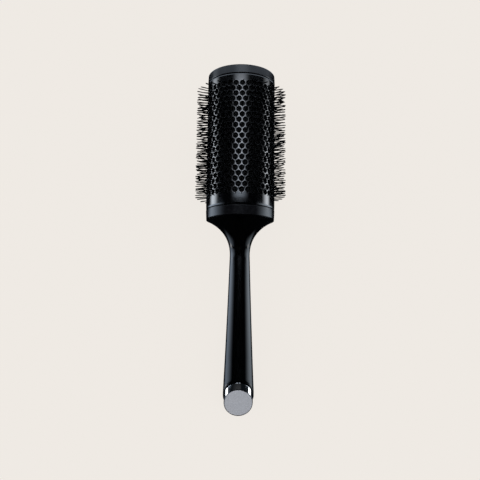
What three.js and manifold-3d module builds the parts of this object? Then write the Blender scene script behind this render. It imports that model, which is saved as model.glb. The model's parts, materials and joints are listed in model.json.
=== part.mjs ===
// Round barrel hairbrush: a vented metal barrel with bristle strips inside it, held between two hubs by
// a steel tie rod, on a long tapered handle with a slanted metal end.
// Millimetres. Each piece is turned or extruded about the brush's own axis, which runs along +Z from the
// handle's end (below 0) to the tip, with 0 where the barrel meets the collar. The finished brush is then
// laid on its side, so that the bristles and the handle's end both touch the surface it lies on.
import * as THREE from "three";
import { mergeVertices } from "three/addons/utils/BufferGeometryUtils.js";
import Module from "manifold-3d";

const wasm = await Module();
wasm.setup();

// Driving dimensions
const GAP = 0.3; // clearance wherever two pieces meet
const BARREL_RADIUS = 27.5;
const BARREL_LENGTH = 105.1;
const BARREL_WALL = 1.0;
const COLLAR_LENGTH = 7.4;
const COLLAR_BEVEL = 0.5;
const TIP_RING_LENGTH = 7.5;
const TIP_RING_RADIUS = 27.6;
const EDGE_ROUND = 0.7;
const STRIP_COUNT = 34;
const ROW_COUNT = 21;
const ROW_PITCH = 4.29;
const FIRST_ROW = 11.6;
const FIRST_STRIP_ANGLE = THREE.MathUtils.degToRad(3.75); // from the upward side of the brush, clockwise
const BRISTLE_RADIUS = 36.7;
const RAIL_WIDTH = 4.2;
const RAIL_THICKNESS = 1.3;
const TUFT_THICKNESS = 0.8;
const SHOULDER_RADIUS = 27.2;
const NECK_RADIUS = 7.9;
const NECK_AT = -36;
const GRIP_RADIUS = 11.9; // the grip's widest, near its end
const GRIP_WIDEST_AT = -142;
const GRIP_TAPER = 0.031; // how fast the radius grows as the taper leaves the neck
const SKIN = 1.6; // soft outer layer of the handle
const END_SLANT = THREE.MathUtils.degToRad(45);
const GRIP_END = -145; // where each slanted cut crosses the axis
const END_FACE = -150.4;
const END_RADIUS = 11.2; // of the metal end, which stands inside the grip's cut edge
const SLEEVE_WALL = 0.6;
const DISC_DEPTH = 1.6;
const STEM_RADIUS = 6;
const STEM_TOP = -130;
const RECESS_INNER = 7; // in the handle's core
const RECESS_OUTER = 15;
const RECESS_DEPTH = 4.8;
const ROD_RADIUS = 2.5;
const ROD_BOTTOM = -110;
const HUB_DEPTH = 8.3;
const HUB_WALL = 2.2;
const HUB_FLOOR = 3;
const HUB_STEP = 6; // how far each hub's step runs under the strips' rails
const RAIL_OVERRUN = 3; // how far a rail runs past its last tuft
const SKIRT_WALL = 1.4;
const COVER_BEVEL = 0.4;
const NUT_ACROSS_FLATS = 9;
const NUT_HEIGHT = 3.2;
const WASHER_RADIUS = 7;
const WASHER_THICKNESS = 1;

// Dimensions that follow from them
const BORE_RADIUS = BARREL_RADIUS - BARREL_WALL;
const RAIL_OUTER = Math.sqrt((BORE_RADIUS - GAP) ** 2 - (RAIL_WIDTH / 2) ** 2); // its corners clear the bore
const RAIL_INNER = RAIL_OUTER - RAIL_THICKNESS;
const HUB_STEP_RADIUS = RAIL_INNER - GAP;
const LAST_ROW = FIRST_ROW + ROW_PITCH * (ROW_COUNT - 1);
const RAIL_BOTTOM = HUB_DEPTH + GAP;
const RAIL_TOP = LAST_ROW + RAIL_OVERRUN;
const TUFT_MARGIN = 0.8; // how far the row of tufts runs past its end holes
const TUFT_BOTTOM = FIRST_ROW - TUFT_MARGIN;
const TUFT_TOP = LAST_ROW + TUFT_MARGIN;
const TIP = BARREL_LENGTH + TIP_RING_LENGTH;
const GRIP_TOP = -COLLAR_LENGTH - GAP;
const LOWEST = END_FACE - 2 * END_RADIUS; // below every slanted cut
const RING_BORE = 21.3;
const COVER_RADIUS = 23.5;
const COVER_THICKNESS = 2;
const SLANT_GAP = GAP / Math.cos(END_SLANT);
const CLEARANCE_RADIUS = ROD_RADIUS + GAP;
const NUT_BOTTOM = BARREL_LENGTH + WASHER_THICKNESS + GAP;
const SLEEVE_TOP = GRIP_END - SLANT_GAP;
const DISC_TOP = END_FACE + DISC_DEPTH;
const DISC_RADIUS = END_RADIUS - SLEEVE_WALL - GAP;

const SEGMENTS = 40; // the handle
const BARREL_SEGMENTS = 64; // the barrel and the rings in line with it
const INNER_SEGMENTS = 32; // what is out of sight
const SMALL_SEGMENTS = 20; // the tie rod and its holes
const HUGE = 400;

const colours = {
  ceramic: { color: 0x101114, roughness: 0.18, metalness: 0.5 },
  band: { color: 0x3a3d44, roughness: 0.55, metalness: 0.0 },
  softTouch: { color: 0x141519, roughness: 0.5, metalness: 0.0 },
  nylon: { color: 0x0b0b0c, roughness: 0.45, metalness: 0.0 },
  innerPlastic: { color: 0x1d1e20, roughness: 0.6, metalness: 0.0 },
  steel: { color: 0x9a9da2, roughness: 0.35, metalness: 1.0 },
  chrome: { color: 0xd8dade, roughness: 0.06, metalness: 1.0 },
  satin: { color: 0xa9acb4, roughness: 0.42, metalness: 0.9 },
};

function solid(geometry) {
  const bare = geometry.clone();
  bare.deleteAttribute("normal");
  bare.deleteAttribute("uv");
  const merged = mergeVertices(bare, 1e-4);
  const vertProperties = merged.attributes.position.array;
  const triVerts = new Uint32Array(merged.index.array);
  return new wasm.Manifold(new wasm.Mesh({ numProp: 3, vertProperties, triVerts }));
}

function geometryOf(body) {
  const mesh = body.getMesh();
  const geometry = new THREE.BufferGeometry();
  geometry.setAttribute("position", new THREE.BufferAttribute(mesh.vertProperties, 3));
  geometry.setIndex(new THREE.BufferAttribute(mesh.triVerts, 1));
  const faceted = geometry.toNonIndexed();
  faceted.computeVertexNormals();
  return faceted;
}

// A closed outline of [radius, height] points, turned about the brush's axis.
function turned(outline, segments = SEGMENTS) {
  const points = outline.map(([radius, height]) => new THREE.Vector2(radius, height));
  if (THREE.ShapeUtils.area(points) < 0) points.reverse();
  const touchesAxis = points.some((point) => point.x === 0);
  if (!touchesAxis) points.push(points[0].clone());
  return new THREE.LatheGeometry(points, segments).rotateX(Math.PI / 2);
}

// A plain ring or tube.
function tube(inner, outer, bottom, top, segments = SEGMENTS) {
  return turned([[inner, bottom], [outer, bottom], [outer, top], [inner, top]], segments);
}

// A plain round bar.
function bar(radius, bottom, top, segments = SEGMENTS) {
  return turned([[0, bottom], [radius, bottom], [radius, top], [0, top]], segments);
}

// The space between two parallel slanted planes, given by where each crosses the axis.
function slantedSlab(top, bottom) {
  const thickness = (top - bottom) * Math.cos(END_SLANT);
  const box = new THREE.BoxGeometry(2 * HUGE, 2 * HUGE, thickness);
  box.rotateX(-END_SLANT).translate(0, 0, (top + bottom) / 2);
  return solid(box);
}

// The handle's side from the shoulder to its widest: x is the radius and y the height. The shoulder is
// one curve that sweeps in to the neck, and the taper is a parabola that widens slowly.
function handleSide() {
  const shoulder = new THREE.CubicBezierCurve(
    new THREE.Vector2(SHOULDER_RADIUS, GRIP_TOP - GAP),
    new THREE.Vector2(0.7 * SHOULDER_RADIUS, GRIP_TOP - 3.9),
    new THREE.Vector2(NECK_RADIUS, GRIP_TOP - 11.7),
    new THREE.Vector2(NECK_RADIUS, NECK_AT),
  );
  const half = (NECK_AT - GRIP_WIDEST_AT) / 2;
  const taper = new THREE.QuadraticBezierCurve(
    new THREE.Vector2(NECK_RADIUS, NECK_AT),
    new THREE.Vector2(NECK_RADIUS + GRIP_TAPER * half, NECK_AT - half),
    new THREE.Vector2(GRIP_RADIUS, GRIP_WIDEST_AT),
  );
  return [...shoulder.getPoints(11), ...taper.getPoints(5).slice(1)];
}

// The handle's outline moved inwards by a distance, up to a level, and closed on the axis.
function handleOutline(inset, top) {
  const side = handleSide();
  const moved = side.map((point, i) => {
    const before = side[Math.max(i - 1, 0)];
    const after = side[Math.min(i + 1, side.length - 1)];
    const along = after.clone().sub(before).normalize();
    return new THREE.Vector2(point.x + along.y * inset, point.y - along.x * inset);
  });
  const below = moved.filter((point) => point.y < top - GAP / 2);
  return [
    [0, top],
    [below[0].x + (top - below[0].y) / 2, top],
    ...below.map((point) => [point.x, point.y]),
    [GRIP_RADIUS - inset, LOWEST],
    [0, LOWEST],
  ];
}

// The soft outer layer, open at the shoulder and at the slanted end.
function makeGrip() {
  const outside = solid(turned(handleOutline(0, GRIP_TOP)));
  const inside = solid(turned(handleOutline(SKIN, GRIP_TOP + SKIN)));
  return outside.subtract(inside).intersect(slantedSlab(HUGE, GRIP_END));
}

// The stiff core, with a recess under the shoulder that keeps its wall even.
function makeCore() {
  const body = solid(turned(handleOutline(SKIN + GAP, GRIP_TOP), INNER_SEGMENTS));
  const rodHole = solid(bar(CLEARANCE_RADIUS, ROD_BOTTOM - GAP, 0, SMALL_SEGMENTS));
  const stemHole = solid(bar(STEM_RADIUS + GAP, LOWEST, STEM_TOP + GAP, INNER_SEGMENTS));
  const recess = solid(tube(RECESS_INNER, RECESS_OUTER, GRIP_TOP - RECESS_DEPTH, 0, INNER_SEGMENTS));
  const hollowed = body.subtract(rodHole).subtract(stemHole).subtract(recess);
  return hollowed.intersect(slantedSlab(HUGE, GRIP_END));
}

function makeCollar() {
  return solid(turned([
    [RING_BORE, -COLLAR_LENGTH],
    [BARREL_RADIUS, -COLLAR_LENGTH],
    [BARREL_RADIUS, -COLLAR_BEVEL],
    [BARREL_RADIUS - COLLAR_BEVEL, 0],
    [RING_BORE, 0],
  ], BARREL_SEGMENTS));
}

// The barrel: a tube with one long slot for each strip's row of tufts.
function makeBarrel() {
  const wall = solid(tube(BORE_RADIUS, BARREL_RADIUS, GAP, BARREL_LENGTH - GAP, BARREL_SEGMENTS));
  const slotWidth = TUFT_THICKNESS + 2 * GAP;
  const slotLength = TUFT_TOP - TUFT_BOTTOM + 2 * GAP;
  const middle = (TUFT_TOP + TUFT_BOTTOM) / 2;
  const slots = stripAngles().map((angle) => {
    const slot = new THREE.BoxGeometry(slotWidth, 4 * BARREL_WALL, slotLength);
    return solid(slot.translate(0, -BARREL_RADIUS, middle).rotateZ(angle));
  });
  return slots.reduce((left, slot) => left.subtract(slot), wall);
}

// Strip centres round the axis, counted from the brush's upward side.
function stripAngles() {
  const step = (2 * Math.PI) / STRIP_COUNT;
  return Array.from({ length: STRIP_COUNT }, (_, i) => FIRST_STRIP_ANGLE + i * step);
}

// One bristle strip: a flat rail inside the barrel and its row of tufts, filled in as one thin plate.
function makeStrip() {
  const rail = new THREE.BoxGeometry(RAIL_WIDTH, RAIL_THICKNESS, RAIL_TOP - RAIL_BOTTOM);
  rail.translate(0, -(RAIL_OUTER + RAIL_INNER) / 2, (RAIL_TOP + RAIL_BOTTOM) / 2);
  const tuftHeight = BRISTLE_RADIUS - RAIL_OUTER + RAIL_THICKNESS / 2;
  const tufts = new THREE.BoxGeometry(TUFT_THICKNESS, tuftHeight, TUFT_TOP - TUFT_BOTTOM);
  tufts.translate(0, -BRISTLE_RADIUS + tuftHeight / 2, (TUFT_TOP + TUFT_BOTTOM) / 2);
  return solid(rail).add(solid(tufts));
}

// The hub at the handle end: a stepped cup whose floor the tie rod passes through.
function makeRearHub() {
  const floor = -COLLAR_LENGTH + GAP;
  const boreRadius = RING_BORE - GAP - HUB_WALL;
  const flange = BORE_RADIUS - GAP;
  return solid(turned([
    [CLEARANCE_RADIUS, floor],
    [RING_BORE - GAP, floor],
    [RING_BORE - GAP, GAP],
    [flange, GAP],
    [flange, HUB_DEPTH],
    [HUB_STEP_RADIUS, HUB_DEPTH],
    [HUB_STEP_RADIUS, HUB_DEPTH + HUB_STEP],
    [boreRadius, HUB_DEPTH + HUB_STEP],
    [boreRadius, floor + HUB_FLOOR],
    [CLEARANCE_RADIUS, floor + HUB_FLOOR],
  ], INNER_SEGMENTS));
}

// The hub at the tip end: a stepped plug with a shallow cup outside, for the nut and the cover's skirt.
function makeFrontHub() {
  const flange = BORE_RADIUS - GAP;
  const flangeBottom = RAIL_TOP + GAP;
  const outside = BARREL_LENGTH - GAP;
  const cupTop = TIP - COVER_THICKNESS - 2 * GAP;
  const cupBore = RING_BORE - GAP - HUB_WALL;
  return solid(turned([
    [CLEARANCE_RADIUS, outside - HUB_FLOOR],
    [HUB_STEP_RADIUS - HUB_WALL, outside - HUB_FLOOR],
    [HUB_STEP_RADIUS - HUB_WALL, flangeBottom - HUB_STEP],
    [HUB_STEP_RADIUS, flangeBottom - HUB_STEP],
    [HUB_STEP_RADIUS, flangeBottom],
    [flange, flangeBottom],
    [flange, outside],
    [RING_BORE - GAP, outside],
    [RING_BORE - GAP, cupTop],
    [cupBore, cupTop],
    [cupBore, outside],
    [CLEARANCE_RADIUS, outside],
  ], INNER_SEGMENTS));
}

function makeTipRing() {
  const corner = new THREE.EllipseCurve(
    TIP_RING_RADIUS - EDGE_ROUND, TIP - EDGE_ROUND, EDGE_ROUND, EDGE_ROUND, 0, Math.PI / 2,
  );
  const ledge = TIP - COVER_THICKNESS - GAP;
  return solid(turned([
    [RING_BORE, BARREL_LENGTH],
    [TIP_RING_RADIUS, BARREL_LENGTH],
    ...corner.getPoints(3).map((point) => [point.x, point.y]),
    [COVER_RADIUS + GAP, TIP],
    [COVER_RADIUS + GAP, ledge],
    [RING_BORE, ledge],
  ], BARREL_SEGMENTS));
}

// The tip cover: a flat disc with a skirt that snaps into the front hub's cup.
function makeTipCover() {
  const underside = TIP - COVER_THICKNESS;
  const skirtOuter = RING_BORE - HUB_WALL - 2 * GAP;
  const skirtInner = skirtOuter - SKIRT_WALL;
  const skirtBottom = BARREL_LENGTH + GAP;
  return solid(turned([
    [0, underside],
    [skirtInner, underside],
    [skirtInner, skirtBottom],
    [skirtOuter, skirtBottom],
    [skirtOuter, underside],
    [COVER_RADIUS, underside],
    [COVER_RADIUS, TIP - COVER_BEVEL],
    [COVER_RADIUS - COVER_BEVEL, TIP],
    [0, TIP],
  ], SEGMENTS));
}

function makeRod() {
  return solid(bar(ROD_RADIUS, ROD_BOTTOM, NUT_BOTTOM + NUT_HEIGHT, SMALL_SEGMENTS));
}

function makeWasher() {
  const top = BARREL_LENGTH + WASHER_THICKNESS;
  return solid(tube(CLEARANCE_RADIUS, WASHER_RADIUS, BARREL_LENGTH, top, SMALL_SEGMENTS));
}

function makeNut() {
  const corner = NUT_ACROSS_FLATS / 2 / Math.cos(Math.PI / 6);
  const hexagon = new THREE.Shape();
  for (let i = 0; i < 6; i += 1) {
    const angle = (i * Math.PI) / 3;
    const x = corner * Math.cos(angle);
    const y = corner * Math.sin(angle);
    if (i === 0) hexagon.moveTo(x, y);
    else hexagon.lineTo(x, y);
  }
  hexagon.closePath();
  hexagon.holes.push(new THREE.Path().absarc(0, 0, CLEARANCE_RADIUS, 0, 2 * Math.PI, true));
  const options = { depth: NUT_HEIGHT, bevelEnabled: false, curveSegments: SMALL_SEGMENTS };
  return solid(new THREE.ExtrudeGeometry(hexagon, options).translate(0, 0, NUT_BOTTOM));
}

// The slanted end: a plug in the handle's core, a thin chromed sleeve round it and a disc on its face.
function makeEndSleeve() {
  const wall = solid(tube(END_RADIUS - SLEEVE_WALL, END_RADIUS, LOWEST, STEM_TOP));
  return wall.intersect(slantedSlab(SLEEVE_TOP, END_FACE));
}

function makeEndPlug() {
  const underside = DISC_TOP + SLANT_GAP;
  const head = solid(bar(DISC_RADIUS, LOWEST, STEM_TOP)).intersect(slantedSlab(SLEEVE_TOP, underside));
  const stem = solid(bar(STEM_RADIUS, LOWEST, STEM_TOP)).intersect(slantedSlab(HUGE, underside));
  return head.add(stem);
}

function makeEndDisc() {
  return solid(bar(DISC_RADIUS, LOWEST, STEM_TOP)).intersect(slantedSlab(DISC_TOP, END_FACE));
}

// Laying the brush down: its tuft row's rear corner touches the surface, and so does the lower rim of
// either the grip's cut or the metal end, whichever stands out further.
function restTilt() {
  const tilts = [[GRIP_RADIUS, GRIP_END], [END_RADIUS, END_FACE]].map(([radius, cut]) => {
    const rim = cut - radius * Math.tan(END_SLANT);
    return Math.atan2(BRISTLE_RADIUS - radius, TUFT_BOTTOM - rim);
  });
  return Math.min(...tilts);
}

const brush = new THREE.Group();

function addPiece(name, body, colour) {
  const mesh = new THREE.Mesh(geometryOf(body), new THREE.MeshStandardMaterial(colours[colour]));
  mesh.name = name;
  brush.add(mesh);
  return mesh;
}

addPiece("handle_core", makeCore(), "innerPlastic");
addPiece("handle_grip", makeGrip(), "softTouch");
addPiece("collar_ring", makeCollar(), "band");
addPiece("rear_hub", makeRearHub(), "innerPlastic");
addPiece("barrel", makeBarrel(), "ceramic");
addPiece("front_hub", makeFrontHub(), "innerPlastic");
addPiece("tip_ring", makeTipRing(), "band");
addPiece("tip_cover", makeTipCover(), "band");
addPiece("tie_rod", makeRod(), "steel");
addPiece("tie_washer", makeWasher(), "steel");
addPiece("tie_nut", makeNut(), "steel");
addPiece("end_plug", makeEndPlug(), "innerPlastic");
addPiece("end_sleeve", makeEndSleeve(), "chrome");
addPiece("end_disc", makeEndDisc(), "satin");

const strip = makeStrip();
stripAngles().forEach((angle, i) => {
  const number = String(i + 1).padStart(2, "0");
  addPiece(`bristle_strip_${number}`, strip, "nylon").rotation.z = angle;
});

brush.rotation.x = restTilt() - Math.PI / 2;
const group = new THREE.Group();
group.add(brush);
group.updateMatrixWorld(true);
const extent = new THREE.Box3().setFromObject(group, true);
const middle = extent.getCenter(new THREE.Vector3());
brush.position.set(-middle.x, -middle.y, -extent.min.z);

export default group;
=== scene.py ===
import json
import math
import random

import bmesh
import bpy
from mathutils import Matrix, Vector


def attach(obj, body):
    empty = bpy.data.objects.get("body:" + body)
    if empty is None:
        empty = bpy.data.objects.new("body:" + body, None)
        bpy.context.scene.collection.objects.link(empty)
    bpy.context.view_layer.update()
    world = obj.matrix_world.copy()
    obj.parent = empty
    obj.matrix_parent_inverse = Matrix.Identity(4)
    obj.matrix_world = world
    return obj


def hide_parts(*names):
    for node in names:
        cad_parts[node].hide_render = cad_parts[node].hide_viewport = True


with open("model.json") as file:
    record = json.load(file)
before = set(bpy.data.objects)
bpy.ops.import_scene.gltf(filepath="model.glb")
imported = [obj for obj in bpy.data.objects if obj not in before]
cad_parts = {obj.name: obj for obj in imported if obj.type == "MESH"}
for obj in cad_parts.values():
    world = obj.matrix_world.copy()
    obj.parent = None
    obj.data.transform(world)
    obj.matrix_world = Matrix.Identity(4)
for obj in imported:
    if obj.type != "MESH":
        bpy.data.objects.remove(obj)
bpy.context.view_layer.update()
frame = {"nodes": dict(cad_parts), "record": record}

# Millimetres, in the brush's own axes: +Z runs to the tip, 0 is where the barrel meets the collar, and -Y is
# the brush's upper side as it lies. Outlines are (radius, height) points, and offsets on the barrel's wall
# are (round, along).
MM = 0.001
TAU = 2 * math.pi

# The barrel and its vents.
BARREL_RADIUS = 27.5
BARREL_BORE = 26.5
BARREL_BOTTOM = 0.3
BARREL_TOP = 105.1
END_DRAW = 0.1  # how far the barrel's end at the collar is drawn in
END_ROUND = 0.4
END_ROUND_STEPS = 3
BAND_EDGE = 3.7  # from the end row's centre to where the wall is plain all round
BAND_STEPS = 6
VENT_RADIUS = 2.16
VENT_LIP = 0.08
LIP_TURN = (0.4, 0.08)  # where the lip starts to fall away, as shares of its width and its depth
VENT_ROWS = 21
VENT_COLUMNS = 34
FIRST_ROW = 11.6
ROW_PITCH = 4.29
VENT_PHASE = math.radians(1.1)
COLUMN_STEP = TAU / VENT_COLUMNS
COLUMN_PITCH = COLUMN_STEP * BARREL_RADIUS
CELL_SIDE_STEPS = 4

# The bristles: a tuft at each vent, and a rail under each pair of staggered columns.
BRISTLE_RADIUS = 36.65
LENGTH_SPREAD = 0.6
FILAMENT_RADIUS = 0.305
FILAMENT_TIP_SHARE = 0.5  # of that radius, at the filament's end
FILAMENTS_PER_VENT = 4
FILAMENT_STEPS = 10
FILAMENT_SIDES = 5
ROOT_DEPTH = 0.5  # into the rail
ROOT_SPREAD = 0.3  # how far a tuft's root stands from the vent's centre
TUFT_PART = 0.17  # how far filaments part at the root
TUFT_SPLAY = 0.14  # and how much further at their ends
TUFT_WAVE = 0.12
WAVES = 1.6
WAVE_SPREAD = 0.9  # in radians, between the waves of one tuft's filaments
TUFT_LEAN = 0.5  # how far a tuft's end stands off from over its root
UPPER_LEAN = -1.5  # along the brush, of the tufts on its upper side: they lie back towards the handle
RIGHT_LEAN = 1.4  # and of those on its right, towards the tip
CLUMP_LEAN = 1.2  # along the brush: tufts of neighbouring rows lean together in clumps
CLUMP_SPACING = 9.3
PAIR_LEAN = 0.55  # and in pairs within them
PAIR_SPACING = 4.7
RAIL_OUTER = 26.1
RAIL_THICKNESS = 1.3
RAIL_WIDTH = 4.7
RAIL_BOTTOM = 8.6
RAIL_TOP = 100.4
RAIL_COLUMN = 0.25  # a rail's centre stands between those of its two staggered columns
FIRST_SEED = 100  # each strip has its own random numbers

# The rings and the tip.
RING_BORE = 21.3
COLLAR_LENGTH = 7.4
COLLAR_TAPER = 0.3
COLLAR_BEVEL = 0.35
RING_BOTTOM = 105.6
TIP = 112.6
TIP_RING_RADIUS = 27.6
TIP_RING_TAPER = 0.3
GROOVE_RADIUS = 25.8  # the floor of the groove between the barrel and the tip ring
GROOVE_NECK = 0.25  # how far the ring reaches down inside the groove
COVER_RADIUS = 23.5
COVER_THICKNESS = 2.0
COVER_GAP = 0.35
COVER_SEAT = 2.3  # the seat's depth below the tip
DISH_DEPTH = 0.5
DISH_RIM = (2.2, 3.4)  # the cover's flat rim, and where the dish inside it is full depth
DISH_BOSS = (2.2, 1.4)  # the foot and the top of the small boss at its centre
BOSS_DROP = (0.15, 0.05)  # how far the boss's edge and centre lie below the rim

# The handle.
GRIP_TOP = -7.6
SHOULDER_RADIUS = 27.2
SHOULDER_EDGE = (0.25, 0.35)  # the bevel of its upper edge, across and down
SHOULDER_PULL = (0.7 * SHOULDER_RADIUS, GRIP_TOP - 4.0)  # the control point that bends it in
NECK_PULL = GRIP_TOP - 11.8  # the level of the one that turns it along the neck
NECK_RADIUS = 7.9
NECK_AT = -36.0
GRIP_RADIUS = 11.9
GRIP_WIDEST_AT = -142.0
GRIP_TAPER = 0.031  # how fast the radius grows as the taper leaves the neck
GRIP_END = -145.0
GRIP_END_ROUND = 0.5
GRIP_END_TURN = (0.3, 0.24)  # the middle of that rounding, as shares of it across and up
SLOPE_TOP = -118.0  # the 45 degree end is sheared out of what lies below this level
SKIN = 1.6  # the soft layer's thickness
SKIN_TOP = 2.0  # and how deep it is under its flat upper edge
SKIN_TOP_WIDTH = 3.0
CURVE_STEPS = 40

# The metal end. Its levels are those at which its slanted faces cross the axis.
END_RADIUS = 11.2
END_FACE = -150.4
SLEEVE_TOP = -145.35
SLEEVE_WALL = 0.45
SLEEVE_BEVEL = (0.15, 0.2)  # of its lower edge, across and up
DISC_GAP = 0.06
DISC_INSET = 0.05
DISC_DEPTH = 1.6

# Mesh making.
TURN_STEPS = 144
ON_AXIS = 1e-6  # a radius below this is on the axis
FILLET_SHARE = 0.45  # of a straight run that a fillet may use up
FILLET_GUARD = 1.15  # a point this far past a fillet's end keeps the straight run after it evenly shaded
GUARD_SHARE = 0.49  # but never past the middle of the run
SHARP_ANGLE = math.radians(50)
WELD = 0.002 * MM

# The studio.
FLOOR_SIDE = 6.0  # in metres, from the middle
FLOOR_CLEARANCE = 0.05 * MM
FLOOR_COLOUR = (0.863, 0.823, 0.776)
FLOOR_GLOW = 0.95  # the share of the floor's brightness that no shadow takes away
FLOOR_MOTTLE = 0.01
EVEN_LIGHT = (1.0, 1.0, 1.0)
NOISE_SPAN = (0.3, 0.7)  # where most of a noise texture's values lie
CAMERA_PLACE = (-5.13, -474.7, -92.5)
CAMERA_YAW = math.radians(-0.63)
CAMERA_PITCH = math.radians(8.27)
CAMERA_ROLL = math.radians(0.6)
CAMERA_LENS = 45.0
CAMERA_SENSOR = 36.0

mounts = {mount["name"]: mount for mount in frame["record"]["mounts"]}
tip_axis = Vector(mounts["tip_face"]["axis"])
tip_point = Vector(mounts["tip_face"]["pos_m"])


def brush_to_frame():
    """The matrix from the brush's own axes, in millimetres, to the frame, in metres."""
    across = Vector((1, 0, 0))
    down = tip_axis.cross(across)
    turn = Matrix((across, down, tip_axis)).transposed().to_4x4()
    start = tip_point - tip_axis * TIP * MM
    return Matrix.Translation(start) @ turn @ Matrix.Scale(MM, 4)


TO_FRAME = brush_to_frame()


# ---------------------------------------------------------------- making pieces

def add_piece(name, points, faces, material, node):
    """A mesh from points in the brush's axes, riding on the brush in place of its CAD node."""
    mesh = bpy.data.meshes.new(name)
    mesh.from_pydata([tuple(p) for p in points], [], [tuple(f) for f in faces])
    mesh.transform(TO_FRAME)
    mesh.materials.append(material)
    piece = bpy.data.objects.new(name, mesh)
    bpy.context.scene.collection.objects.link(piece)
    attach(piece, "root")
    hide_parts(node)
    return piece


def clean(piece):
    """Joins points that lie together, turns every face outwards and sets the shading."""
    work = bmesh.new()
    work.from_mesh(piece.data)
    bmesh.ops.remove_doubles(work, verts=work.verts, dist=WELD)
    bmesh.ops.recalc_face_normals(work, faces=work.faces)
    work.to_mesh(piece.data)
    work.free()
    piece.data.shade_smooth()
    piece.data.set_sharp_from_angle(angle=SHARP_ANGLE)


def join_rings(faces, first, count, rings):
    """Faces between rings of count points each, which follow one another from the point first."""
    for ring in range(rings - 1):
        for k in range(count):
            a = first + ring * count + k
            b = first + ring * count + (k + 1) % count
            faces.append((a, b, b + count, a + count))


def close_ends(faces, first, count, rings):
    """A face over the first of those rings, and one over the last."""
    last = first + (rings - 1) * count
    faces.append(tuple(first + k for k in reversed(range(count))))
    faces.append(tuple(last + k for k in range(count)))


def fillet(outline, radius, steps):
    """A closed outline with every corner rounded by an arc of about that radius."""
    rounded = []
    count = len(outline)
    for i, corner in enumerate(outline):
        corner = Vector(corner)
        if corner.x < ON_AXIS:
            rounded.append(corner)
            continue
        back = Vector(outline[i - 1]) - corner
        ahead = Vector(outline[(i + 1) % count]) - corner
        reach = min(radius, FILLET_SHARE * back.length, FILLET_SHARE * ahead.length)
        start = corner + back.normalized() * reach
        end = corner + ahead.normalized() * reach
        rounded.append(corner + back.normalized() * min(FILLET_GUARD * reach, GUARD_SHARE * back.length))
        for k in range(steps + 1):
            t = k / steps
            rounded.append(start * (1 - t) ** 2 + corner * 2 * t * (1 - t) + end * t * t)
        rounded.append(corner + ahead.normalized() * min(FILLET_GUARD * reach, GUARD_SHARE * ahead.length))
    return rounded


def turned(outline, rise=None):
    """A closed outline turned about the axis. With rise, a point at y and a height is then carried up by
    rise(y, height)."""
    points, faces = [], []
    count = len(outline)
    for j in range(TURN_STEPS):
        angle = TAU * j / TURN_STEPS
        for radius, height in outline:
            x, y = radius * math.sin(angle), -radius * math.cos(angle)
            points.append((x, y, height + (rise(y, height) if rise else 0)))
    for j in range(TURN_STEPS):
        here, beyond = j * count, (j + 1) % TURN_STEPS * count
        for i in range(count):
            after = (i + 1) % count
            on_axis = outline[i][0] < ON_AXIS and outline[after][0] < ON_AXIS
            if not on_axis:
                faces.append((here + i, here + after, beyond + after, beyond + i))
    return points, faces


def turned_piece(outline, name, material, node, rise=None):
    points, faces = turned(outline, rise)
    clean(add_piece(name, points, faces, material, node))


# ---------------------------------------------------------------- materials

class Nodes:
    """A material's node tree, with short calls for the few nodes that the finishes share."""

    def __init__(self, name):
        self.material = bpy.data.materials.new(name)
        self.material.use_nodes = True
        self.tree = self.material.node_tree
        self.shader = self.tree.nodes["Principled BSDF"]
        self.place = self.add("ShaderNodeTexCoord").outputs["Object"]

    def add(self, kind):
        return self.tree.nodes.new(kind)

    def link(self, output, target):
        self.tree.links.new(output, target)

    def noise(self, size_mm, detail, stretch=(1, 1, 1)):
        mapping = self.add("ShaderNodeMapping")
        mapping.inputs["Scale"].default_value = stretch
        self.link(self.place, mapping.inputs["Vector"])
        noise = self.add("ShaderNodeTexNoise")
        noise.inputs["Scale"].default_value = 1 / (size_mm * MM)
        noise.inputs["Detail"].default_value = detail
        self.link(mapping.outputs["Vector"], noise.inputs["Vector"])
        return noise.outputs["Fac"]

    def colour(self, factor, dark, light):
        ramp = self.add("ShaderNodeValToRGB")
        for element, position, colour in zip(ramp.color_ramp.elements, NOISE_SPAN, (dark, light)):
            element.position = position
            element.color = (*colour, 1)
        self.link(factor, ramp.inputs["Fac"])
        self.link(ramp.outputs["Color"], self.shader.inputs["Base Color"])

    def roughness(self, factor, low, high):
        spread = self.add("ShaderNodeMapRange")
        spread.inputs["From Min"].default_value = NOISE_SPAN[0]
        spread.inputs["From Max"].default_value = NOISE_SPAN[1]
        spread.inputs["To Min"].default_value = low
        spread.inputs["To Max"].default_value = high
        self.link(factor, spread.inputs["Value"])
        self.link(spread.outputs["Result"], self.shader.inputs["Roughness"])

    def bump(self, height, depth_mm, strength):
        bump = self.add("ShaderNodeBump")
        bump.inputs["Strength"].default_value = strength
        bump.inputs["Distance"].default_value = depth_mm * MM
        self.link(height, bump.inputs["Height"])
        self.link(bump.outputs["Normal"], self.shader.inputs["Normal"])

    def set(self, **values):
        for name, value in values.items():
            self.shader.inputs[name.replace("_", " ")].default_value = value


def ceramic():
    """Gloss black ceramic coat: a slight orange peel, with fine specks in the glaze."""
    nodes = Nodes("ceramic")
    nodes.set(IOR=1.7)
    nodes.colour(nodes.noise(size_mm=0.5, detail=4), (0.0002, 0.0002, 0.0003), (0.0008, 0.0008, 0.001))
    nodes.roughness(nodes.noise(size_mm=6, detail=4), 0.08, 0.125)
    nodes.bump(nodes.noise(size_mm=1.6, detail=3), depth_mm=0.008, strength=0.5)
    return nodes.material


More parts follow.
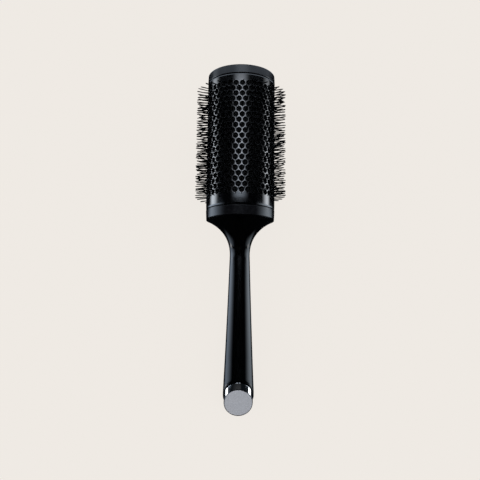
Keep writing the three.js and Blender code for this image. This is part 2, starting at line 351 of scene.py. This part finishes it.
def soft_touch():
    """Satin soft-touch layer: a fine even grain, with faint broad changes where hands have polished it."""
    nodes = Nodes("soft_touch")
    nodes.set(IOR=1.45)
    nodes.colour(nodes.noise(size_mm=9, detail=3), (0.0001, 0.0001, 0.00015), (0.0004, 0.0004, 0.0005))
    nodes.roughness(nodes.noise(size_mm=14, detail=4), 0.09, 0.12)
    nodes.bump(nodes.noise(size_mm=0.22, detail=2), depth_mm=0.004, strength=0.3)
    return nodes.material


def band_plastic():
    """The end rings' matte moulding, a little rougher and greyer than the handle."""
    nodes = Nodes("band_plastic")
    nodes.set(IOR=1.5, Specular_IOR_Level=0.38)
    nodes.colour(nodes.noise(size_mm=3, detail=4), (0.002, 0.0022, 0.003), (0.005, 0.0053, 0.0065))
    nodes.roughness(nodes.noise(size_mm=5, detail=3), 0.115, 0.155)
    nodes.bump(nodes.noise(size_mm=0.3, detail=2), depth_mm=0.006, strength=0.35)
    return nodes.material


def nylon():
    """Black nylon filament, with the die's faint streaks."""
    nodes = Nodes("nylon")
    nodes.set(IOR=1.53, Specular_IOR_Level=0.12)
    nodes.colour(nodes.noise(size_mm=1.2, detail=2), (0.0003, 0.0003, 0.0003), (0.0015, 0.0015, 0.0016))
    nodes.roughness(nodes.noise(size_mm=0.6, detail=2), 0.52, 0.66)
    nodes.bump(nodes.noise(size_mm=0.15, detail=2), depth_mm=0.01, strength=0.4)
    return nodes.material


def inner_plastic():
    """Plain black moulding, out of sight."""
    nodes = Nodes("inner_plastic")
    nodes.colour(nodes.noise(size_mm=4, detail=3), (0.006, 0.006, 0.007), (0.014, 0.014, 0.015))
    nodes.roughness(nodes.noise(size_mm=3, detail=3), 0.5, 0.65)
    nodes.bump(nodes.noise(size_mm=0.4, detail=2), depth_mm=0.02, strength=0.5)
    return nodes.material


def plated_steel():
    """Zinc-plated steel, drawn lengthwise."""
    nodes = Nodes("plated_steel")
    nodes.set(Metallic=1.0)
    nodes.colour(nodes.noise(size_mm=2, detail=4), (0.36, 0.37, 0.38), (0.5, 0.51, 0.53))
    nodes.roughness(nodes.noise(size_mm=1.5, detail=3), 0.28, 0.42)
    drawn = nodes.noise(size_mm=0.3, detail=3, stretch=(1, 0.1, 1))
    nodes.bump(drawn, depth_mm=0.01, strength=0.4)
    return nodes.material


def chrome():
    """Mirror chrome with the faintest haze of handling."""
    nodes = Nodes("chrome")
    nodes.set(Metallic=1.0)
    nodes.colour(nodes.noise(size_mm=3, detail=3), (0.74, 0.75, 0.76), (0.8, 0.81, 0.82))
    nodes.roughness(nodes.noise(size_mm=2.5, detail=5), 0.035, 0.08)
    nodes.bump(nodes.noise(size_mm=2, detail=2), depth_mm=0.003, strength=0.3)
    return nodes.material


def satin_metal():
    """Bead-blasted silver: a fine even sparkle, and cloudy changes of roughness."""
    nodes = Nodes("satin_metal")
    nodes.set(Metallic=0.5)
    nodes.colour(nodes.noise(size_mm=0.7, detail=4), (0.5, 0.53, 0.595), (0.8, 0.83, 0.91))
    nodes.roughness(nodes.noise(size_mm=2.5, detail=3), 0.44, 0.52)
    nodes.bump(nodes.noise(size_mm=0.25, detail=2), depth_mm=0.012, strength=0.6)
    return nodes.material


def floor_paper():
    """Plain pale paper, lit so evenly that the brush's shadow is only faint."""
    nodes = Nodes("floor_paper")
    nodes.set(Specular_IOR_Level=0.0, Emission_Strength=FLOOR_GLOW, Emission_Color=(*FLOOR_COLOUR, 1))
    lit = [c * (1 - FLOOR_GLOW) for c in FLOOR_COLOUR]
    dark, light = [c * (1 - FLOOR_MOTTLE) for c in lit], [c * (1 + FLOOR_MOTTLE) for c in lit]
    nodes.colour(nodes.noise(size_mm=300, detail=2), dark, light)
    nodes.roughness(nodes.noise(size_mm=40, detail=2), 0.9, 1.0)
    return nodes.material


# ---------------------------------------------------------------- barrel

def on_wall(angle, height, radius):
    return (radius * math.sin(angle), -radius * math.cos(angle), height)


def row_height(row):
    return FIRST_ROW + row * ROW_PITCH


def vent_angle(row, column):
    """Vent places round the barrel, clockwise from its upper side. Every second row is set over by half
    a column. Rows are counted from the collar, and the row next to the tip has no shift."""
    shift = 0.5 * ((VENT_ROWS - 1 - row) % 2)
    return VENT_PHASE + (column + shift) * COLUMN_STEP


def cell_size():
    """Of the six-sided cell round a vent: half its width, and how far above its centre the upright sides
    and the peak end."""
    lift = COLUMN_PITCH ** 2 / (8 * ROW_PITCH)
    return COLUMN_PITCH / 2, ROW_PITCH / 2 - lift, ROW_PITCH / 2 + lift


def cell_edge():
    """Offsets of the points round a cell. Cells of staggered rows share them, so the wall closes without a
    seam."""
    half, side, peak = cell_size()
    corners = [(half, -side), (half, side), (0, peak), (-half, side), (-half, -side), (0, -peak)]
    edge = []
    for start, end in zip(corners, corners[1:] + corners[:1]):
        for k in range(CELL_SIDE_STEPS):
            t = k / CELL_SIDE_STEPS
            edge.append((start[0] + (end[0] - start[0]) * t, start[1] + (end[1] - start[1]) * t))
    return edge


def cell_rings():
    """A cell's rings of points, as (offsets, radius): from its outer edge over the vent's lip and down the
    vent to its inner edge."""
    edge = cell_edge()
    across, down = LIP_TURN
    vent = [
        (VENT_RADIUS + VENT_LIP, BARREL_RADIUS),
        (VENT_RADIUS + across * VENT_LIP, BARREL_RADIUS - down * VENT_LIP),
        (VENT_RADIUS, BARREL_RADIUS - VENT_LIP),
        (VENT_RADIUS, BARREL_BORE),
    ]
    rings = [(edge, BARREL_RADIUS)]
    for size, radius in vent:
        bearings = [math.atan2(along, around) for around, along in edge]
        rings.append(([(size * math.cos(b), size * math.sin(b)) for b in bearings], radius))
    rings.append((edge, BARREL_BORE))
    return rings


def barrel_cells(points, faces):
    rings = cell_rings()
    for row in range(VENT_ROWS):
        height = row_height(row)
        for column in range(VENT_COLUMNS):
            angle = vent_angle(row, column)
            first = len(points)
            for offsets, radius in rings:
                for around, along in offsets:
                    points.append(on_wall(angle + around / BARREL_RADIUS, height + along, radius))
            join_rings(faces, first, len(offsets), len(rings))


def zigzag_edge(row, outwards):
    """The free edge of an end row's cells, as (angle, height) points."""
    _, side, peak = cell_size()
    edge = []
    for column in range(VENT_COLUMNS):
        for k in range(2 * CELL_SIDE_STEPS):
            along = peak - (peak - side) * abs(k - CELL_SIDE_STEPS) / CELL_SIDE_STEPS
            angle = vent_angle(row, column) + (k / (2 * CELL_SIDE_STEPS) - 0.5) * COLUMN_STEP
            edge.append((angle, row_height(row) + outwards * along))
    return edge


def band_levels(row, outwards):
    """The band's outline as (radius, height) points, with None for the height of the zigzag edge."""
    end, draw = (BARREL_TOP, 0) if outwards > 0 else (BARREL_BOTTOM, END_DRAW)
    straight = row_height(row) + outwards * BAND_EDGE
    levels = [(BARREL_RADIUS, None), (BARREL_RADIUS, straight)]
    for k in range(1, BAND_STEPS + 1):
        share = k / BAND_STEPS
        level = straight + (end - outwards * END_ROUND - straight) * share
        levels.append((BARREL_RADIUS - draw * share ** 2, level))
    for k in range(1, END_ROUND_STEPS + 1):
        turn = math.pi / 2 * k / END_ROUND_STEPS
        away = outwards * END_ROUND * (1 - math.sin(turn))
        levels.append((BARREL_RADIUS - draw - END_ROUND * (1 - math.cos(turn)), end - away))
    return levels + [(BARREL_BORE, end), (BARREL_BORE, straight), (BARREL_BORE, None)]


def barrel_band(points, faces, row, outwards):
    """The plain band past an end row: from the zigzag edge to the barrel's rounded end and back inside."""
    edge = zigzag_edge(row, outwards)
    levels = band_levels(row, outwards)
    first = len(points)
    for radius, level in levels:
        for angle, edge_height in edge:
            points.append(on_wall(angle, edge_height if level is None else level, radius))
    join_rings(faces, first, len(edge), len(levels))


def make_barrel(material):
    points, faces = [], []
    barrel_cells(points, faces)
    barrel_band(points, faces, 0, -1)
    barrel_band(points, faces, VENT_ROWS - 1, 1)
    clean(add_piece("barrel_shell", points, faces, material, "barrel"))


# ---------------------------------------------------------------- bristles

def rail(points, faces, angle):
    """The strip's rail: a shallow curved bar with rounded long edges, closed at both ends."""
    outline = fillet([
        (RAIL_OUTER - RAIL_THICKNESS, -RAIL_WIDTH / 2),
        (RAIL_OUTER, -RAIL_WIDTH / 2),
        (RAIL_OUTER, RAIL_WIDTH / 2),
        (RAIL_OUTER - RAIL_THICKNESS, RAIL_WIDTH / 2),
    ], radius=0.4, steps=2)
    first = len(points)
    for height in (RAIL_BOTTOM, RAIL_TOP):
        for radius, across in outline:
            points.append(on_wall(angle + across / RAIL_OUTER, height, radius))
    join_rings(faces, first, len(outline), 2)
    close_ends(faces, first, len(outline), 2)


def any_offset(rng):
    return Vector((rng.uniform(-1, 1), rng.uniform(-1, 1)))


def tuft_lean(angle, height, rng):
    """How far a tuft's end stands off from over its root: a little anyhow, more by the side of the brush it
    is on, and in step with its neighbours."""
    turn = rng.uniform(0, TAU)
    lean = Vector((math.cos(turn), math.sin(turn))) * rng.uniform(0, TUFT_LEAN)
    lean.y += UPPER_LEAN * max(0, math.cos(angle)) + RIGHT_LEAN * max(0, math.sin(angle))
    clump = CLUMP_LEAN * math.sin(TAU * height / CLUMP_SPACING + angle)
    pair = PAIR_LEAN * math.sin(TAU * height / PAIR_SPACING + 2 * angle)
    lean.y += (clump + pair) * abs(math.sin(angle))
    return lean


def tuft(points, faces, angle, height, rng):
    """The filaments of one vent. They leave the rail together, lean and wave together, and part a little."""
    lean = tuft_lean(angle, height, rng)
    start = any_offset(rng) * ROOT_SPREAD
    wave = any_offset(rng) * TUFT_WAVE
    phase = rng.uniform(0, TAU)
    for _ in range(FILAMENTS_PER_VENT):
        own = any_offset(rng)
        own_phase = phase + rng.uniform(-WAVE_SPREAD, WAVE_SPREAD)
        tip = BRISTLE_RADIUS - rng.uniform(0, 1) ** 2 * LENGTH_SPREAD

        def path(t):
            sway = math.sin(own_phase + WAVES * TAU * t) * min(1, 2 * t)
            return start + own * (TUFT_PART + TUFT_SPLAY * t ** 2) + lean * t + wave * sway

        filament(points, faces, angle, height, tip, path)


def filament(points, faces, angle, height, tip, path):
    """One filament along a path of offsets, with a narrowed end."""
    root = RAIL_OUTER - ROOT_DEPTH
    first = len(points)
    for step in range(FILAMENT_STEPS):
        t = step / (FILAMENT_STEPS - 1)
        around, along = path(t)
        radius = root + (tip - root) * t
        thick = FILAMENT_RADIUS * (FILAMENT_TIP_SHARE if step == FILAMENT_STEPS - 1 else 1)
        for side in range(FILAMENT_SIDES):
            turn = TAU * side / FILAMENT_SIDES
            offset = angle + (around + thick * math.cos(turn)) / radius
            points.append(on_wall(offset, height + along + thick * math.sin(turn), radius))
    join_rings(faces, first, FILAMENT_SIDES, FILAMENT_STEPS)
    close_ends(faces, first, FILAMENT_SIDES, FILAMENT_STEPS)


def rest_on_floor(piece):
    """Filaments that would reach below the surface bend and lie on it."""
    for vertex in piece.data.vertices:
        vertex.co.z = max(vertex.co.z, FLOOR_CLEARANCE)


def make_strip(index, material):
    rng = random.Random(FIRST_SEED + index)
    points, faces = [], []
    rail(points, faces, VENT_PHASE + (index + RAIL_COLUMN) * COLUMN_STEP)
    for row in range(VENT_ROWS):
        tuft(points, faces, vent_angle(row, index), row_height(row), rng)
    number = f"{index + 1:02d}"
    node = f"bristle_strip_{number}"
    piece = add_piece(f"bristles_{number}", points, faces, material, node)
    rest_on_floor(piece)
    clean(piece)


# ---------------------------------------------------------------- rings and tip

def make_collar(material):
    outline = fillet([
        (RING_BORE, -COLLAR_LENGTH),
        (BARREL_RADIUS - COLLAR_TAPER, -COLLAR_LENGTH),
        (BARREL_RADIUS, -COLLAR_BEVEL),
        (BARREL_RADIUS - COLLAR_BEVEL, 0),
        (RING_BORE, 0),
    ], radius=0.12, steps=3)
    turned_piece(outline, "collar_band", material, "collar_ring")


def make_tip_ring(material):
    outline = fillet([
        (RING_BORE, RING_BOTTOM - GROOVE_NECK),
        (GROOVE_RADIUS, RING_BOTTOM - GROOVE_NECK),
        (GROOVE_RADIUS, RING_BOTTOM),
        (TIP_RING_RADIUS, RING_BOTTOM),
        (TIP_RING_RADIUS - TIP_RING_TAPER, TIP),
        (COVER_RADIUS + COVER_GAP, TIP),
        (COVER_RADIUS + COVER_GAP, TIP - COVER_SEAT),
        (RING_BORE, TIP - COVER_SEAT),
    ], radius=0.45, steps=4)
    turned_piece(outline, "tip_band", material, "tip_ring")


def make_tip_cover(material):
    """The flat cover, with a shallow moulded dish inside its rim and a small boss at its centre."""
    rim, dish = DISH_RIM
    boss_foot, boss_top = DISH_BOSS
    outline = fillet([
        (0, TIP - COVER_THICKNESS),
        (COVER_RADIUS, TIP - COVER_THICKNESS),
        (COVER_RADIUS, TIP),
        (COVER_RADIUS - rim, TIP),
        (COVER_RADIUS - dish, TIP - DISH_DEPTH),
        (boss_foot, TIP - DISH_DEPTH),
        (boss_top, TIP - BOSS_DROP[0]),
        (0, TIP - BOSS_DROP[1]),
    ], radius=0.5, steps=4)
    turned_piece(outline, "tip_cover_disc", material, "tip_cover")


# ---------------------------------------------------------------- handle and metal end

def bezier(controls):
    """Points along the curve of any order that the control points set."""
    found = []
    for k in range(CURVE_STEPS + 1):
        line = [Vector(c) for c in controls]
        while len(line) > 1:
            line = [a.lerp(b, k / CURVE_STEPS) for a, b in zip(line, line[1:])]
        found.append(line[0])
    return found


def handle_side():
    """The handle's side from its shoulder to its widest: the shoulder's sweep, then the grip's taper."""
    shoulder = bezier([
        (SHOULDER_RADIUS, GRIP_TOP - SHOULDER_EDGE[1]),
        SHOULDER_PULL,
        (NECK_RADIUS, NECK_PULL),
        (NECK_RADIUS, NECK_AT),
    ])
    half = (NECK_AT - GRIP_WIDEST_AT) / 2
    taper = bezier([
        (NECK_RADIUS, NECK_AT),
        (NECK_RADIUS + GRIP_TAPER * half, NECK_AT - half),
        (GRIP_RADIUS, GRIP_WIDEST_AT),
    ])
    return shoulder + taper[1:]


def slant(y, height):
    """Shears what lies below a level, so that a square end becomes the 45 degree one."""
    return -y * min(1, max(0, (SLOPE_TOP - height) / (SLOPE_TOP - GRIP_END)))


def make_grip(material):
    side = handle_side()
    across, up = GRIP_END_TURN
    top_radius = SHOULDER_RADIUS - SHOULDER_EDGE[0]
    outline = [(top_radius, GRIP_TOP)] + [tuple(p) for p in side]
    outline += [
        (GRIP_RADIUS, GRIP_END + GRIP_END_ROUND),
        (GRIP_RADIUS - across * GRIP_END_ROUND, GRIP_END + up * GRIP_END_ROUND),
        (GRIP_RADIUS - GRIP_END_ROUND, GRIP_END),
        (GRIP_RADIUS - SKIN, GRIP_END),
    ]
    outline += [(p.x - SKIN, p.y) for p in reversed(side) if p.y < GRIP_TOP - SKIN_TOP]
    outline.append((top_radius - SKIN_TOP_WIDTH, GRIP_TOP))
    turned_piece(outline, "grip_skin", material, "handle_grip", slant)


def full_slant(y, height):
    """Carries every point of the metal end down the 45 degree slant."""
    return -y


def make_end_sleeve(material):
    across, up = SLEEVE_BEVEL
    outline = fillet([
        (END_RADIUS - SLEEVE_WALL, SLEEVE_TOP),
        (END_RADIUS, SLEEVE_TOP),
        (END_RADIUS, END_FACE + up),
        (END_RADIUS - across, END_FACE),
        (END_RADIUS - SLEEVE_WALL, END_FACE),
    ], radius=0.15, steps=3)
    turned_piece(outline, "end_sleeve_band", material, "end_sleeve", full_slant)


def make_end_disc(material):
    radius = END_RADIUS - SLEEVE_WALL - DISC_GAP
    outline = fillet([
        (0, END_FACE + DISC_DEPTH),
        (radius, END_FACE + DISC_DEPTH),
        (radius, END_FACE + DISC_INSET),
        (0, END_FACE + DISC_INSET),
    ], radius=0.25, steps=3)
    turned_piece(outline, "end_face_disc", material, "end_disc", full_slant)


# ---------------------------------------------------------------- studio

def make_floor(material):
    mesh = bpy.data.meshes.new("floor")
    corners = [(x * FLOOR_SIDE, y * FLOOR_SIDE, 0) for x, y in ((-1, -1), (1, -1), (1, 1), (-1, 1))]
    mesh.from_pydata(corners, [], [(0, 1, 2, 3)])
    mesh.materials.append(material)
    floor = bpy.data.objects.new("floor", mesh)
    bpy.context.scene.collection.objects.link(floor)
    floor.visible_glossy = False


class Sky:
    """The studio round the brush: an even pale dome, and for reflections a dark room with soft boxes.
    Directions are in degrees: round the brush's axis from its upper side, and along it towards the tip."""

    def __init__(self):
        world = bpy.data.worlds.new("studio")
        world.use_nodes = True
        world.cycles.sampling_method = "NONE"
        bpy.context.scene.world = world
        self.tree = world.node_tree
        self.place = self.add("ShaderNodeTexCoord").outputs["Generated"]
        across, upward = Vector((1, 0, 0)), tip_axis.cross(Vector((-1, 0, 0)))
        self.round = self.degrees("ARCTAN2", self.share_of(across), self.share_of(upward))
        self.along = self.degrees("ARCSINE", self.share_of(tip_axis))

    def add(self, kind):
        return self.tree.nodes.new(kind)

    def link(self, output, target):
        self.tree.links.new(output, target)

    def share_of(self, direction):
        node = self.add("ShaderNodeVectorMath")
        node.operation = "DOT_PRODUCT"
        node.inputs[1].default_value = direction
        self.link(self.place, node.inputs[0])
        return node.outputs["Value"]

    def math(self, operation, a, b=None):
        node = self.add("ShaderNodeMath")
        node.operation = operation
        for value, socket in zip((a, b), node.inputs):
            if value is not None:
                self.link(value, socket)
        return node.outputs["Value"]

    def degrees(self, operation, a, b=None):
        return self.math("DEGREES", self.math(operation, a, b))

    def edge(self, value, start, end):
        """0 at start, 1 at end, smooth between."""
        node = self.add("ShaderNodeMapRange")
        node.interpolation_type = "SMOOTHSTEP"
        node.inputs["From Min"].default_value = start
        node.inputs["From Max"].default_value = end
        self.link(value, node.inputs["Value"])
        return node.outputs["Result"]

    def patch(self, round_edges, along_edges):
        """A soft-edged patch. Each set of edges is (start, full, full, end)."""
        share = None
        for value, edges in ((self.round, round_edges), (self.along, along_edges)):
            rise = self.edge(value, edges[0], edges[1])
            fall = self.edge(value, edges[3], edges[2])
            both = self.math("MULTIPLY", rise, fall)
            share = both if share is None else self.math("MULTIPLY", share, both)
        return share

    def tint(self, share, colour, strength):
        node = self.add("ShaderNodeVectorMath")
        node.operation = "SCALE"
        node.inputs[0].default_value = [c * strength for c in colour]
        self.link(share, node.inputs["Scale"])
        return node.outputs["Vector"]

    def sum(self, parts):
        total = parts[0]
        for part in parts[1:]:
            node = self.add("ShaderNodeVectorMath")
            self.link(total, node.inputs[0])
            self.link(part, node.inputs[1])
            total = node.outputs["Vector"]
        return total

    def finish(self, reflected, even):
        """Reflections see one colour, and everything else sees the even one."""
        path = self.add("ShaderNodeLightPath")
        mix = self.add("ShaderNodeMix")
        mix.data_type = "RGBA"
        colour_inputs = [socket for socket in mix.inputs if socket.type == "RGBA"]
        colour_inputs[0].default_value = (*even, 1)
        self.link(reflected, colour_inputs[1])
        self.link(path.outputs["Is Glossy Ray"], mix.inputs["Factor"])
        colour = next(socket for socket in mix.outputs if socket.type == "RGBA")
        self.link(colour, self.tree.nodes["Background"].inputs["Color"])


def soft_boxes():
    """What reflections see, as (edges round the brush, edges along it, colour, strength): a tall soft box on
    each side, one above, and the pale room beyond the tip."""
    left, right, above = (-142, -112, -100, -50), (50, 98, 110, 140), (-34, -6, 0, 29)
    handle, handle_upper = (-5.5, -4, 8.6, 9.8), (-3, 7, 8.6, 9.8)
    metal_end, shoulder = (-12.5, -9.5, -5.5, -4), (-38, -15, -12, -8.5)
    all_round, full_length = (-181, -180.5, 180.5, 181), (-91, -90.5, 90.5, 91)
    cool_left, cool_right, neutral = (0.82, 0.98, 1.2), (0.88, 1.0, 1.13), (0.98, 1.0, 1.02)
    return [
        # The left soft box: the lengths that the barrel, the handle and the metal end show.
        ((-125, -105, -101, -78), (8.6, 9.8, 17, 29), (0.92, 1.0, 1.09), 5.4),
        (left, handle, cool_left, 1.6),
        (left, handle_upper, cool_left, 1.15),
        ((-122, -115, -97, -91), metal_end, neutral, 3.5),
        # The right one.
        ((75, 99, 99.5, 117), (8.6, 9.8, 15.5, 27), (0.95, 1.0, 1.06), 5.4),
        (right, handle, cool_right, 1.9),
        (right, handle_upper, cool_right, 0.9),
        ((85, 92, 111, 118), metal_end, neutral, 3.0),
        # Their lower ends, which the shoulder shows.
        ((-138, -112, -100, -54), shoulder, cool_left, 1.2),
        ((52, 98, 110, 134), shoulder, cool_right, 1.4),
        # The one above, which the barrel's centre shows.
        (above, (11.1, 11.7, 18.6, 27), (0.87, 1.0, 1.18), 2.0),
        (above, (13.6, 17.3, 18.6, 27), (0.95, 1.0, 1.09), 3.9),
        # The pale room beyond the tip, which the rings show.
        (all_round, (25.5, 29, 36, 62), (0.86, 0.99, 1.17), 1.35),
        ((-32, -4, 8, 36), (25.5, 29, 36, 50), (0.9, 1.0, 1.12), 1.1),
        # A dim card that the chrome's centre shows, and the room's own faint light.
        ((-60, 0, 10, 26), (-14, -10, -6.2, -4.5), (1, 1, 1), 0.05),
        (all_round, full_length, (0.8, 1, 1.3), 0.006),
    ]


def make_studio():
    sky = Sky()
    lights = []
    for round_edges, along_edges, colour, strength in soft_boxes():
        lights.append(sky.tint(sky.patch(round_edges, along_edges), colour, strength))
    sky.finish(sky.sum(lights), EVEN_LIGHT)


def make_camera():
    """The camera looks down on the brush from near its handle. Its place is in the brush's own axes."""
    ahead = Vector((
        -math.sin(CAMERA_YAW) * math.cos(CAMERA_PITCH),
        math.cos(CAMERA_YAW) * math.cos(CAMERA_PITCH),
        math.sin(CAMERA_PITCH),
    ))
    level = Vector((math.cos(CAMERA_YAW), math.sin(CAMERA_YAW), 0))
    upright = level.cross(ahead)
    right = level * math.cos(CAMERA_ROLL) + upright * math.sin(CAMERA_ROLL)
    up = upright * math.cos(CAMERA_ROLL) - level * math.sin(CAMERA_ROLL)
    turn = TO_FRAME.to_3x3() * (1 / MM) @ Matrix((right, up, -ahead)).transposed()
    data = bpy.data.cameras.new("camera")
    data.lens = CAMERA_LENS
    data.sensor_width = CAMERA_SENSOR
    camera = bpy.data.objects.new("camera", data)
    bpy.context.scene.collection.objects.link(camera)
    camera.matrix_world = Matrix.Translation(TO_FRAME @ Vector(CAMERA_PLACE)) @ turn.to_4x4()
    bpy.context.scene.camera = camera


def dress_inner_parts():
    """The parts out of sight keep their CAD shapes and get finished materials."""
    plastic, steel = inner_plastic(), plated_steel()
    for node in ("handle_core", "rear_hub", "front_hub", "end_plug"):
        frame["nodes"][node].material_slots[0].material = plastic
    for node in ("tie_rod", "tie_washer", "tie_nut"):
        frame["nodes"][node].material_slots[0].material = steel


make_camera()
make_studio()
make_floor(floor_paper())
bpy.context.scene.view_settings.view_transform = "Standard"

band = band_plastic()
bristle = nylon()
make_barrel(ceramic())
for strip in range(VENT_COLUMNS):
    make_strip(strip, bristle)
make_collar(band)
make_tip_ring(band)
make_tip_cover(band)
make_grip(soft_touch())
make_end_sleeve(chrome())
make_end_disc(satin_metal())
dress_inner_parts()
